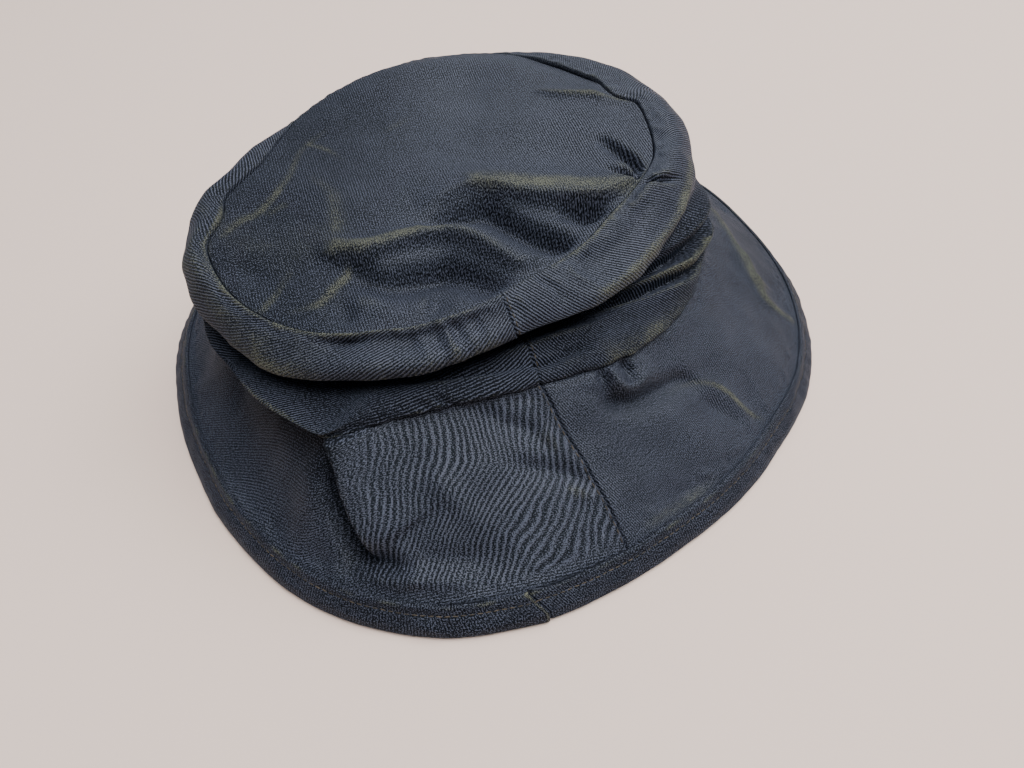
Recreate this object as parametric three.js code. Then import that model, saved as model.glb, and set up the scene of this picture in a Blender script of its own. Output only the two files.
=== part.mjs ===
// Soft waxed cotton hat with a round slumped crown and a sloping brim, lying brim down.
// Units are millimetres, +Z is up, the floor is z = 0, and the seam of band and brim faces -Y.
// Every wall is a sheet of cloth: an outer skin, the same skin set inwards, and closed edges.
import * as THREE from "three";

// Driving sizes
const cloth = 1.3; // wall of the waxed cotton
const bindingCloth = 1.1; // wall of the binding strip
const gap = 0.35; // clear space between two pieces that are sewn together
const hub = { x: -7.95, y: -1.95 }; // point that all angles and radii are measured from
const tipLap = 4; // reach of the crown tip under the edge of the side band
const tipLapShare = 0.35; // most of it, as a share of the shoulder roll's width
const rollRise = 1.5; // height of the shoulder roll above the crown seam
const rollAt = 0.45; // place of its top, as a share of the way from the seam to the rim
const heelHeight = 3; // upright strip of the band above the brim seam
const collarHeight = 1.6; // brim cloth turned up inside that strip
const seamDrop = 0.2; // how far the brim starts below the band's foot
const bindingHigh = 10.3; // height of the binding's inner edge
const bindingWide = 6.8; // level distance from that edge to the outer edge of the brim
const foldHigh = 2.2; // height at which the binding starts to turn under
const turnHigh = 1.5; // height of the outermost edge of that turn
const restIn = 0.9; // start of the flat strip that lies on the floor, in from the outer edge
const restWide = 3; // width of that strip
const underShort = 2.5; // how far the binding's under layer stops short of its upper edge
const clothColor = [0.19, 0.21, 0.24];
const bindingColor = [0.16, 0.17, 0.19];
const clothRoughness = 0.6;

// Angles of the sections that the skins are drawn through, finer at the brim's corner
const evenStep = 6;
const fineStep = 2;
const fineFrom = 234;
const fineTo = 264;

// Quads along each stretch of a skin
const steps = { seamRoll: 2, rollRim: 3, rimTuck: 2, tuckLip: 9, lipHeel: 2, heelFoot: 1, brim: 6 };
const tipRings = [0.16, 0.32, 0.48, 0.62, 0.75, 0.88];
const tipMargin = 2; // level ring of the tip just inside the crown seam
const tipRise = 1; // height of the tip's middle above the mean height of its rim

// Sections through the side band, from the crown seam down to the brim: radius and height of
// the seam, the rim of the shoulder roll, the tuck under it, the lowest fold and the foot
const bandSections = table("at seamR seamZ rimR rimZ tuckR tuckZ lipR lipZ footR footZ", [
  [0, 72, 87, 88, 81, 89, 77, 98, 55, 98, 46],
  [22, 73, 92, 91, 86, 89, 79, 98, 59, 99, 46],
  [45, 68, 95, 88, 89, 86, 80, 96, 60, 98, 45],
  [67, 70, 94.5, 84, 89, 83, 81, 94, 60, 96, 45],
  [90, 74, 91.5, 81, 87, 80, 80, 92, 60, 94, 45],
  [112, 75, 90, 80.5, 86, 79, 79, 90, 59, 92, 44],
  [135, 76, 88, 82, 83, 80, 77, 90, 58, 92, 44],
  [158, 80, 84.5, 87, 80, 85, 73, 91, 56, 93, 43],
  [180, 84, 83, 97, 77, 93, 67, 97, 54, 95, 43],
  [200, 104, 79, 114, 69, 99, 60, 111, 51, 99, 42],
  [218, 109, 73, 118, 61, 98, 54, 119, 49, 101, 41],
  [232, 104, 69, 115, 58, 92, 52, 120, 48, 105, 41],
  [240, 99, 68, 111, 57, 86, 51, 121.5, 47, 112, 41],
  [247, 93, 68, 105, 57, 80, 50, 123, 47, 123, 43],
  [251, 89, 68, 102, 57, 76, 50, 111, 49, 114, 44],
  [256, 86, 68, 98, 57, 72, 50, 102, 50, 106.5, 44],
  [262, 82, 69, 94, 58, 69, 50, 95, 50.5, 100.5, 44.5],
  [275, 74, 71, 85, 60, 64, 51, 88, 51, 94, 45],
  [290, 66, 73, 80, 61, 62, 52, 85, 51, 91, 45],
  [307, 63, 75, 81, 64, 67, 55, 86, 51.5, 93, 45],
  [324, 62, 79, 82, 67, 74, 60, 89, 52, 95, 45],
  [342, 66, 83, 84, 73, 83, 68, 95, 53, 96, 46],
]);

// Sections through the brim: its outer edge, and how it falls (1 is straight, more is hollow)
const brimSections = table("at edgeR fall", [
  [0, 156, 1.05],
  [22, 159, 1.05],
  [45, 166, 1.05],
  [67, 166, 1.05],
  [90, 164, 1.05],
  [112, 161, 1.05],
  [135, 155, 1.05],
  [158, 147, 1.1],
  [180, 140, 1.2],
  [200, 140, 1.3],
  [218, 143, 1.4],
  [232, 149, 1.5],
  [240, 153, 1.5],
  [247, 157, 1.15],
  [256, 160, 1.1],
  [265, 161, 1.05],
  [275, 158, 1],
  [290, 152, 1],
  [307, 148, 1],
  [324, 148, 1],
  [342, 153, 1],
]);

// Folds of the side band: each runs from one angle to another, its place given as a share of
// the way down from the tuck to the lowest fold
const bandFolds = table("from downFrom to downTo out wide", [
  [318, 0.12, 54, 0.12, 6, 0.14],
  [306, 0.4, 20, 0.46, 5, 0.1],
  [302, 0.66, 10, 0.74, 4, 0.1],
  [60, 0.45, 170, 0.55, 3, 0.25],
]);
const foldFade = 0.2; // share of the way over which folds of the brim and tip die out at a seam
const foldLean = 0.35; // how far a fold hangs over, as a share of its height

// Ridges and dents (-) of the brim: the angle and the share of the way out at both ends. Heights
// and widths are in millimetres on a plan where a degree and the whole way out have fixed sizes
const brimDegree = 2;
const brimDepth = 55;
const brimFolds = table("at out toAt toOut high wide", [
  [247, 0, 252, 0.5, 4, 5],
  [252, 0.5, 257, 0.74, 3, 5],
  [243, 0.2, 251, 0.6, -6, 6],
  [251, 0.6, 260, 0.82, -5, 6],
  [304, 0, 303, 0.2, -2, 5],
  [300, 0.24, 318, 0.34, -3.5, 6],
  [322, 0.5, 325, 0.88, 2, 6],
  [22, 0.48, 356, 0.69, 3, 8],
]);

// Ridges and dents (-) of the crown tip: both ends in millimetres from the hub
const tipFolds = table("x y toX toY high wide", [
  [-48, -62, -36, -47, 3, 8],
  [-36, -47, 2, -30, 4, 8],
  [16, -21, 64, -18, 3.5, 7],
  [-2, -24, 48, -32, -4.5, 7],
  [-28, -55, 0, -58, -5, 9],
  [8, -34, 26, -51, 2.5, 5],
  [54, 5, 67, -13, -3, 4],
]);

// Rows of a table as objects that carry the column names
function table(columns, rows) {
  const names = columns.split(" ");
  return rows.map((row) => Object.fromEntries(names.map((name, i) => [name, row[i]])));
}

const mix = THREE.MathUtils.lerp;
const vector = (x, y) => new THREE.Vector2(x, y);

// Smooth closed curve through one column of a table, with no overshoot between its rows
function columnCurve(rows, column) {
  const n = rows.length;
  const at = (i) => rows[(i + n) % n].at + 360 * Math.floor(i / n);
  const value = (i) => rows[(i + n) % n][column];
  const slope = (i) => (value(i + 1) - value(i)) / (at(i + 1) - at(i));
  const tangent = (i) => {
    const before = slope(i - 1);
    const after = slope(i);
    return before * after <= 0 ? 0 : (2 * before * after) / (before + after);
  };
  return (angle) => {
    const a = THREE.MathUtils.euclideanModulo(angle, 360);
    const i = rows.findLastIndex((row) => row.at <= a);
    const span = at(i + 1) - at(i);
    const t = (a - at(i)) / span;
    const blend = mix(value(i), value(i + 1), t * t * (3 - 2 * t));
    return blend + span * t * (1 - t) * (tangent(i) * (1 - t) - tangent(i + 1) * t);
  };
}

function curvesOf(rows) {
  const names = Object.keys(rows[0]).filter((name) => name !== "at");
  const curves = names.map((name) => [name, columnCurve(rows, name)]);
  return (angle) => Object.fromEntries(curves.map(([name, curve]) => [name, curve(angle)]));
}

const bandAt = curvesOf(bandSections);
const brimAt = curvesOf(brimSections);

// Height of a soft ridge at a point, falling off with the distance from the ridge's line
function ridge(point, start, end, high, wide) {
  const along = end.clone().sub(start);
  const share = point.clone().sub(start).dot(along) / along.lengthSq();
  const nearest = start.clone().addScaledVector(along, THREE.MathUtils.clamp(share, 0, 1));
  return high * Math.exp(-((point.distanceTo(nearest) / wide) ** 2));
}

function sectionAngles() {
  const list = [];
  for (let angle = 0; angle < 360; ) {
    list.push(angle);
    angle += angle >= fineFrom && angle < fineTo ? fineStep : evenStep;
  }
  return list;
}

const angles = sectionAngles();

function place(angle, radius, height) {
  const a = THREE.MathUtils.degToRad(angle);
  return [hub.x + radius * Math.cos(a), hub.y + radius * Math.sin(a), height];
}

// How far the folds lift the band's skin at an angle and a share of the way down
function foldLift(angle, down) {
  let lift = 0;
  for (const fold of bandFolds) {
    const span = THREE.MathUtils.euclideanModulo(fold.to - fold.from, 360);
    const along = THREE.MathUtils.euclideanModulo(angle - fold.from, 360) / span;
    if (along >= 1) continue;
    const offset = (down - mix(fold.downFrom, fold.downTo, along)) / fold.wide;
    lift += fold.out * Math.sqrt(Math.sin(Math.PI * along)) * Math.exp(-(offset ** 2));
  }
  return lift;
}

// Outer skin of the side band at one angle, as points of radius and height
function bandProfile(angle) {
  const s = bandAt(angle);
  const ends = [
    [s.seamR, s.seamZ, steps.seamRoll],
    [mix(s.seamR, s.rimR, rollAt), s.seamZ + rollRise, steps.rollRim],
    [s.rimR, s.rimZ, steps.rimTuck],
    [s.tuckR, s.tuckZ, steps.tuckLip],
    [s.lipR, s.lipZ, steps.lipHeel],
    [s.footR, s.footZ + heelHeight, steps.heelFoot],
    [s.footR, s.footZ, 0],
  ];
  const points = ends.map(([radius, height]) => new THREE.Vector3(radius, height, 0));
  const curve = new THREE.CatmullRomCurve3(points, false, "centripetal");
  const down = vector(s.lipR - s.tuckR, s.lipZ - s.tuckZ).normalize();
  const foldWay = vector(-down.y, down.x).addScaledVector(down, foldLean);
  const profile = [];
  ends.forEach(([, height, count], part) => {
    for (let i = 0; i < count; i += 1) {
      const point = curve.getPoint((part + i / count) / (ends.length - 1));
      const lift = height === s.tuckZ ? foldLift(angle, i / count) : 0;
      profile.push(vector(point.x, point.y).addScaledVector(foldWay, lift));
    }
  });
  profile.push(vector(s.footR, s.footZ));
  return profile;
}

// The brim's skirt inside the binding: its top corner, its way down and its outward normal
function skirt(angle) {
  const { edgeR } = brimAt(angle);
  const down = vector(bindingWide, foldHigh - bindingHigh).normalize();
  const out = vector(-down.y, down.x);
  const crest = vector(edgeR - bindingWide, bindingHigh);
  const top = crest.clone().addScaledVector(out, -gap - bindingCloth);
  const end = top.clone().addScaledVector(down, (top.y - foldHigh - cloth / 2) / -down.y);
  return { edgeR, down, out, crest, top, end };
}

// Outer skin of the brim between its seam (0) and the binding (1)
function brimPoint(angle, share) {
  const foot = bandAt(angle);
  const { top } = skirt(angle);
  const { fall } = brimAt(angle);
  const startR = foot.footR - cloth - gap;
  const startZ = foot.footZ - seamDrop;
  let lift = 0;
  for (const fold of brimFolds) {
    const turn = THREE.MathUtils.euclideanModulo(angle - fold.at + 180, 360) - 180;
    const toTurn = THREE.MathUtils.euclideanModulo(fold.toAt - fold.at + 180, 360) - 180;
    const here = vector(turn * brimDegree, share * brimDepth);
    const start = vector(0, fold.out * brimDepth);
    const end = vector(toTurn * brimDegree, fold.toOut * brimDepth);
    lift += ridge(here, start, end, fold.high, fold.wide);
  }
  const fade = Math.min(1, (1 - share) / foldFade) * Math.min(1, share / foldFade);
  const height = top.y + (startZ - top.y) * (1 - share) ** fall;
  return vector(mix(startR, top.x, share), height + lift * fade);
}

function brimProfile(angle) {
  const start = brimPoint(angle, 0);
  const profile = [vector(start.x, start.y + seamDrop + collarHeight)];
  for (let i = 0; i <= steps.brim; i += 1) profile.push(brimPoint(angle, i / steps.brim));
  profile.push(skirt(angle).end);
  return profile;
}

// A skin moved inwards, square to its own direction at each point
function setIn(profile, distance) {
  return profile.map((point, i) => {
    const before = profile[Math.max(0, i - 1)];
    const after = profile[Math.min(profile.length - 1, i + 1)];
    const along = after.clone().sub(before).normalize();
    return vector(point.x + along.y * distance, point.y - along.x * distance);
  });
}

const wall = (profile) => [...profile, ...setIn(profile, cloth).reverse()];

// The binding's closed section: a strip folded round the skirt, flat where it meets the floor
function bindingSection(angle) {
  const { edgeR, down, out, crest, top, end } = skirt(angle);
  const off = (point, away, on = 0) => point.clone().addScaledVector(out, away).addScaledVector(down, on);
  const under = -cloth - gap;
  return [
    crest,
    off(end, gap + bindingCloth),
    vector(edgeR, turnHigh),
    vector(edgeR - restIn, 0),
    vector(edgeR - restIn - restWide, 0),
    off(end, under - bindingCloth),
    off(top, under - bindingCloth, underShort),
    off(top, under, underShort),
    off(end, under, gap),
    off(end, gap, gap),
    off(top, gap),
  ];
}

function bufferOf(positions, triangles) {
  const geometry = new THREE.BufferGeometry();
  geometry.setAttribute("position", new THREE.Float32BufferAttribute(positions, 3));
  geometry.setIndex(triangles);
  geometry.computeVertexNormals();
  return geometry;
}

// A closed ring from a closed section at each angle
function ringSolid(sectionAt) {
  const sections = angles.map(sectionAt);
  const count = sections[0].length;
  const positions = sections.flatMap((section, k) => section.flatMap((p) => place(angles[k], p.x, p.y)));
  const triangles = [];
  for (let k = 0; k < angles.length; k += 1) {
    const next = (k + 1) % angles.length;
    for (let i = 0; i < count; i += 1) {
      const j = (i + 1) % count;
      const corners = [k * count + i, next * count + i, next * count + j, k * count + j];
      triangles.push(corners[0], corners[2], corners[1], corners[0], corners[3], corners[2]);
    }
  }
  return bufferOf(positions, triangles);
}

// Upper skin of the crown tip, flat in a ring at the seam and rumpled inside it
function tipPoint(angle, radius, share) {
  const { seamZ } = bandAt(angle);
  const [x, y] = place(angle, radius, 0);
  const here = vector(x - hub.x, y - hub.y);
  let height = mix(tipMiddle, seamZ, share) - cloth - gap;
  for (const fold of tipFolds) {
    const ends = [vector(fold.x, fold.y), vector(fold.toX, fold.toY)];
    height += ridge(here, ...ends, fold.high, fold.wide) * Math.min(1, (1 - share) / foldFade);
  }
  return [x, y, height];
}

function lapAt(angle) {
  const { seamR, rimR } = bandAt(angle);
  return Math.min(tipLap, (rimR - seamR) * tipLapShare);
}

const quarters = [0, 90, 180, 270].map((angle) => bandAt(angle).seamZ);
const tipMiddle = quarters.reduce((sum, height) => sum + height) / quarters.length + tipRise;

function tipSolid() {
  const rings = [
    ...tipRings.map((share) => (angle) => tipPoint(angle, bandAt(angle).seamR * share, share)),
    (angle) => tipPoint(angle, bandAt(angle).seamR - tipMargin, 1),
    (angle) => tipPoint(angle, bandAt(angle).seamR + lapAt(angle), 1),
  ];
  const skin = [tipPoint(0, 0, 0), ...rings.flatMap((ring) => angles.map(ring))];
  const positions = [...skin, ...skin.map(([x, y, z]) => [x, y, z - cloth])].flat();
  const n = angles.length;
  const at = (under, ring, k) => under * skin.length + (ring < 0 ? 0 : 1 + ring * n + (k % n));
  const triangles = [];
  for (let k = 0; k < n; k += 1) {
    triangles.push(at(0, -1, 0), at(0, 0, k), at(0, 0, k + 1));
    triangles.push(at(1, -1, 0), at(1, 0, k + 1), at(1, 0, k));
    for (let ring = 0; ring + 1 < rings.length; ring += 1) {
      const a = [at(0, ring, k), at(0, ring + 1, k), at(0, ring + 1, k + 1), at(0, ring, k + 1)];
      const b = [at(1, ring, k), at(1, ring + 1, k), at(1, ring + 1, k + 1), at(1, ring, k + 1)];
      triangles.push(a[0], a[1], a[2], a[0], a[2], a[3]);
      triangles.push(b[0], b[2], b[1], b[0], b[3], b[2]);
    }
    const rim = rings.length - 1;
    const c = [at(0, rim, k), at(1, rim, k), at(1, rim, k + 1), at(0, rim, k + 1)];
    triangles.push(c[0], c[1], c[2], c[0], c[2], c[3]);
  }
  return bufferOf(positions, triangles);
}

function piece(name, geometry, shade) {
  const color = new THREE.Color().setRGB(...shade, THREE.SRGBColorSpace);
  const material = new THREE.MeshStandardMaterial({ color, roughness: clothRoughness, metalness: 0 });
  const mesh = new THREE.Mesh(geometry, material);
  mesh.name = name;
  return mesh;
}

const hat = new THREE.Group();
hat.add(piece("crown_tip", tipSolid(), clothColor));
hat.add(piece("side_band", ringSolid((angle) => wall(bandProfile(angle))), clothColor));
hat.add(piece("brim", ringSolid((angle) => wall(brimProfile(angle))), clothColor));
hat.add(piece("brim_binding", ringSolid(bindingSection), bindingColor));

export default hat;
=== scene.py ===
import math
import bmesh
import bpy
import numpy as np
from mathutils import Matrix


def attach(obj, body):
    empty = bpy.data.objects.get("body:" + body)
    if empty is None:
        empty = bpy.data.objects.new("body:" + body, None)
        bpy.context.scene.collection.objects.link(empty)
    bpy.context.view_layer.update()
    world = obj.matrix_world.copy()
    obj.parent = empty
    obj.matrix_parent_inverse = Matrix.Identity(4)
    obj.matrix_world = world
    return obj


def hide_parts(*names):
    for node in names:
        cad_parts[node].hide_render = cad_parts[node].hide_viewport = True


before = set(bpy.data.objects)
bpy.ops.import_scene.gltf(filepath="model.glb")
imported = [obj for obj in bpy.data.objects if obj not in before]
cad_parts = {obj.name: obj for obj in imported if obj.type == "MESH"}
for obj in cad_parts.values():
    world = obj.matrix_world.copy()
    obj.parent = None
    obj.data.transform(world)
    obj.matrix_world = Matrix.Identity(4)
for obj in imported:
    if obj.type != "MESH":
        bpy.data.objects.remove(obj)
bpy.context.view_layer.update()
print("frame loaded:", ", ".join(sorted(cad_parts)))

# Sizes below are in millimetres, angles in degrees round the hub; meshes are scaled to metres
millimetre = 0.001
hub = np.array([-7.95, -1.95])
cloth = {"wall": 1.3, "gap": 0.35, "innerSmoothing": 10, "wearSpread": 14, "wearFull": 0.9}


# Rows of a table as dictionaries that carry the column names
def table(columns, rows):
    names = columns.split()
    return [dict(zip(names, row)) for row in rows]


# Smooth closed curve through one column of a table of sections
def ringCurve(rows, column):
    at = np.array([row["at"] for row in rows], float)
    value = np.array([row[column] for row in rows], float)
    nextAt = np.append(at[1:], at[0] + 360)
    nextValue = np.append(value[1:], value[0])
    slope = (nextValue - value) / (nextAt - at)
    before = np.roll(slope, 1)
    total = np.where(before * slope > 0, before + slope, 1)
    tangent = np.where(before * slope > 0, 2 * before * slope / total, 0)
    nextTangent = np.roll(tangent, -1)

    def curve(angle):
        a = np.mod(angle, 360)
        i = np.searchsorted(at, a, side="right") - 1
        span = nextAt[i] - at[i]
        t = (a - at[i]) / span
        blend = value[i] + (nextValue[i] - value[i]) * t * t * (3 - 2 * t)
        return blend + span * t * (1 - t) * (tangent[i] * (1 - t) - nextTangent[i] * t)

    # A mean over a few degrees, because cloth has no corners
    def soft(angle):
        return 0.25 * curve(angle - 1.6) + 0.5 * curve(angle) + 0.25 * curve(angle + 1.6)

    return soft


# Degrees from one angle to another, from -180 to 180
def turnFrom(start, angle):
    return np.mod(angle - start + 180, 360) - 180


# Angles from a start all the way round, closer together near places given as (angle, extra, width)
def stations(count, start, dense):
    fine = np.linspace(0, 360, 7201)
    weight = np.ones(fine.shape)
    for at, extra, wide in dense:
        weight += extra * bell(turnFrom(at, fine + start), wide)
    summed = np.concatenate([[0], np.cumsum((weight[1:] + weight[:-1]) / 2)])
    return start + np.interp(np.arange(count) / count, summed / summed[-1], fine)


# Steps along a profile: for each stretch its end and how many rows it takes
def rowsOf(stretches):
    values = [stretches[0][0]]
    for start, end, count in stretches:
        values += list(start + (end - start) * (np.arange(count) + 1) / count)
    return np.array(values)


# Points on the centripetal curve through control points, at one place along it
def centripetal(controls, place):
    last = len(controls) - 1
    i = min(int(place), last - 1)
    t = place - i
    p1, p2 = controls[i], controls[i + 1]
    p0 = controls[i - 1] if i > 0 else 2 * p1 - p2
    p3 = controls[i + 2] if i + 2 <= last else 2 * p2 - p1
    step = [np.maximum(np.sqrt(np.linalg.norm(b - a, axis=-1, keepdims=True)), 1e-4)
            for a, b in ((p0, p1), (p1, p2), (p2, p3))]
    t1 = ((p1 - p0) / step[0] - (p2 - p0) / (step[0] + step[1]) + (p2 - p1) / step[1]) * step[1]
    t2 = ((p2 - p1) / step[1] - (p3 - p1) / (step[1] + step[2]) + (p3 - p2) / step[2]) * step[1]
    a = 2 * t ** 3 - 3 * t ** 2 + 1
    return a * p1 + (t ** 3 - 2 * t ** 2 + t) * t1 + (1 - a) * p2 + (t ** 3 - t ** 2) * t2


def aroundHub(angle, profile):
    a = np.radians(angle)
    radius, height = profile[..., 0], profile[..., 1]
    return np.stack([hub[0] + radius * np.cos(a), hub[1] + radius * np.sin(a), height], -1)


def smooth(t):
    t = np.clip(t, 0, 1)
    return t * t * (3 - 2 * t)


# A bell over distance, 1 in the middle
def bell(distance, wide, sharp=2):
    return np.exp(-(distance / wide) ** sharp)


# A grid made softer in a number of passes; it is closed round its first direction
def soften(grid, passes):
    for _ in range(passes):
        grid = (np.roll(grid, 1, 0) + 2 * grid + np.roll(grid, -1, 0)) / 4
        padded = np.concatenate([grid[:, :1], grid, grid[:, -1:]], 1)
        grid = (padded[:, :-2] + 2 * padded[:, 1:-1] + padded[:, 2:]) / 4
    return grid


# Outward directions over a grid of columns and rows, and its unit steps along both
def directions(grid):
    across = np.roll(grid, -1, 0) - np.roll(grid, 1, 0)
    down = np.gradient(grid, axis=1)
    normal = np.cross(down, across)
    return [v / np.maximum(np.linalg.norm(v, axis=-1, keepdims=True), 1e-9) for v in (normal, across, down)]


# A fold's line of points (place, place, height) made smooth, with more points
def fineLine(points, pieces=5):
    p = np.array(points, float)
    if len(p) == 2:
        return p
    p = np.concatenate([[2 * p[0] - p[1]], p, [2 * p[-1] - p[-2]]])
    fine = []
    for i in range(1, len(p) - 2):
        for t in np.arange(pieces) / pieces:
            turn = (p[i + 1] - p[i - 1]) * t + (2 * p[i - 1] - 5 * p[i] + 4 * p[i + 1] - p[i + 2]) * t * t
            fine.append(p[i] + (turn + (3 * p[i] - p[i - 1] - 3 * p[i + 1] + p[i + 2]) * t ** 3) / 2)
    return np.array(fine + [p[-2]])


# Distance to a line, the side of it, the line's height there and the direction to its plus side
def nearLine(u, v, line, period=None):
    best = np.full(u.shape, 1e9)
    side = np.ones(u.shape)
    high = np.zeros(u.shape)
    way = np.zeros(u.shape + (2,))
    for (u0, v0, h0), (u1, v1, h1) in zip(line, line[1:]):
        du, dv = u1 - u0, v1 - v0
        length = max(math.hypot(du, dv), 1e-6)
        x, y = u - u0, v - v0
        if period:
            x = np.mod(x + period / 2, period) - period / 2
        share = np.clip((x * du + y * dv) / length ** 2, 0, 1)
        x, y = x - share * du, y - share * dv
        distance = np.hypot(x, y)
        closer = distance < best
        best = np.where(closer, distance, best)
        side = np.where(closer, np.sign(du * y - dv * x), side)
        high = np.where(closer, h0 + (h1 - h0) * share, high)
        way[closer] = (-dv / length, du / length)
    return best, side, high, way


# A line drawn on the cloth: its width on the minus and the plus side, then points (place, place, height)
def stroke(minus, plus, *points, sharp=2, lean=0.0):
    return {"points": points, "minus": minus, "plus": plus, "sharp": sharp, "lean": lean}


# Strokes over a grid: how far each point lifts, and how far it leans along the sheet
def strokesOver(u, v, strokes, placeOf, period=None):
    lift = np.zeros(u.shape)
    lean = np.zeros(u.shape + (2,))
    for drawn in strokes:
        points = np.array([(*placeOf(a, b), high) for a, b, high in drawn["points"]], float)
        if period:  # a line that crosses the seam goes on past it
            steps = np.mod(np.diff(points[:, 0]) + period / 2, period) - period / 2
            points[1:, 0] = points[0, 0] + np.cumsum(steps)
        line = fineLine(points)
        distance, side, high, way = nearLine(u, v, line, period)
        wide = np.where(side > 0, drawn["plus"], drawn["minus"])
        shape = high * bell(distance, wide, drawn["sharp"])
        lift += shape
        lean += (drawn["lean"] * np.abs(shape))[..., None] * way
    return lift, lean


# Slow swells and small crumples of soft cloth: sums of waves, cut to creases where asked
def crumple(points, wavelength, seed, waves=10, creased=False):
    random = np.random.default_rng(seed)
    total = np.zeros(points.shape[:-1])
    for _ in range(waves):
        way = random.normal(size=3)
        way *= 2 * math.pi / wavelength / np.linalg.norm(way) * random.uniform(0.7, 1.4)
        total += np.cos(points @ way + random.uniform(0, 2 * math.pi))
    total /= math.sqrt(waves / 2)
    return 0.6 - np.abs(total) if creased else total


# Several crumples added up: each row of the table is share, wavelength, seed and whether it is creased
def crumples(points, rows):
    return sum(row[0] * crumple(points, row[1], row[2], creased=row[3]) for row in rows)


# A sewn seam: the groove along it, and the upper sheet's step on the side before it
def seamWelt(fromSeam, settings):
    groove = -settings["grooveDeep"] * bell(fromSeam, settings["grooveWide"])
    before = fromSeam < -settings["grooveWide"] / 2
    return groove + settings["seamStep"] * np.exp(-np.abs(fromSeam) / settings["stepWide"]) * before


# A closed wall of cloth from an outer and an inner grid, as one mesh with its cloth map and marks
def wallPiece(name, outer, inner, clothMap, marks, closedMiddle=False):
    n, rows = outer.shape[:2]
    innerRows = inner.shape[1]
    points = np.concatenate([outer.reshape(-1, 3), inner.reshape(-1, 3)]) * millimetre
    faces, corners = [], []

    def sheet(start, count, flip, uv):
        k, j = np.meshgrid(np.arange(n), np.arange(count - 1), indexing="ij")
        k2 = (k + 1) % n
        quad = np.stack([k * count + j, k * count + j + 1, k2 * count + j + 1, k2 * count + j], -1) + start
        spot = np.stack([uv[k, j], uv[k, j + 1], uv[k + 1, j + 1], uv[k + 1, j]], -2)
        if flip:
            quad, spot = quad[..., ::-1], spot[..., ::-1, :]
        faces.append(quad.reshape(-1, 4))
        corners.append(spot.reshape(-1, 4, 2))

    innerMap = clothMap[:, np.linspace(0, rows - 1, innerRows).round().astype(int)]
    sheet(0, rows, False, clothMap)
    sheet(n * rows, innerRows, True, innerMap)
    ends = [(rows - 1, innerRows - 1, False)]
    if not closedMiddle:
        ends.insert(0, (0, 0, True))
    k = np.arange(n)
    k2 = (k + 1) % n
    for outEnd, inEnd, flip in ends:
        a, b = k * rows + outEnd, k2 * rows + outEnd
        c, d = n * rows + k2 * innerRows + inEnd, n * rows + k * innerRows + inEnd
        quad = np.stack([a, d, c, b], -1)
        near, far = clothMap[k, outEnd], clothMap[k + 1, outEnd]
        spot = np.stack([near, near, far, far], 1)
        faces.append(quad[:, ::-1] if flip else quad)
        corners.append(spot[:, ::-1] if flip else spot)
    values = {}
    for key, value in marks.items():
        values[key] = np.concatenate([np.broadcast_to(value, (n, rows)).ravel(), np.zeros(n * innerRows)])
    return meshPiece(name, points, np.concatenate(faces), np.concatenate(corners), values, closedMiddle)


def meshPiece(name, points, quads, spots, marks, weld=False):
    mesh = bpy.data.meshes.new(name)
    mesh.vertices.add(len(points))
    mesh.vertices.foreach_set("co", points.astype(np.float32).ravel())
    mesh.loops.add(quads.size)
    mesh.loops.foreach_set("vertex_index", quads.astype(np.int32).ravel())
    mesh.polygons.add(len(quads))
    mesh.polygons.foreach_set("loop_start", np.arange(0, quads.size, 4, dtype=np.int32))
    mesh.polygons.foreach_set("loop_total", np.full(len(quads), 4, np.int32))
    uv = mesh.uv_layers.new(name="cloth")
    uv.data.foreach_set("uv", (spots * millimetre).astype(np.float32).ravel())
    for key, value in marks.items():
        made = mesh.attributes.new(key, "FLOAT", "POINT")
        made.data.foreach_set("value", value.astype(np.float32))
    mesh.update(calc_edges=True)
    if weld:
        weldClose(mesh)
    mesh.polygons.foreach_set("use_smooth", np.ones(len(mesh.polygons), bool))
    mesh.validate()
    piece = bpy.data.objects.new(name, mesh)
    bpy.context.scene.collection.objects.link(piece)
    return piece


def weldClose(mesh):
    shape = bmesh.new()
    shape.from_mesh(mesh)
    bmesh.ops.remove_doubles(shape, verts=shape.verts, dist=1e-6)
    shape.to_mesh(mesh)
    shape.free()


# Rub marks: where a grid stands out from its own surroundings it is worn pale
def wearOf(grid, normal):
    out = ((grid - soften(grid, cloth["wearSpread"])) * normal).sum(-1)
    return np.clip(out / cloth["wearFull"], 0, 1)


# The inner skin follows the outer one, softer and at least a wall's thickness inwards
def innerSkin(outer, thickness, rows, passes):
    calm = soften(outer, passes)
    normal = directions(calm)[0]
    sunk = np.minimum(((outer - calm) * normal).sum(-1, keepdims=True), 0)
    for axis in (0, 1):
        sunk = np.minimum.reduce([np.roll(sunk, step, axis) for step in (-3, -2, -1, 0, 1, 2, 3)])
    inner = calm + normal * (soften(sunk, 2) - thickness)
    picked = np.linspace(0, outer.shape[1] - 1, rows).round().astype(int)
    inner = inner[:, picked]
    ends = outer - directions(outer)[0] * thickness
    inner[:, 0] = ends[:, 0]
    inner[:, -1] = ends[:, -1]
    return inner


# The cloth's own map turned, so that its ribs run along the second direction of the map
def turnedMap(across, down, degrees):
    c, s = math.cos(math.radians(degrees)), math.sin(math.radians(degrees))
    return np.stack([across * c + down * s, down * c - across * s], -1)


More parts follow.
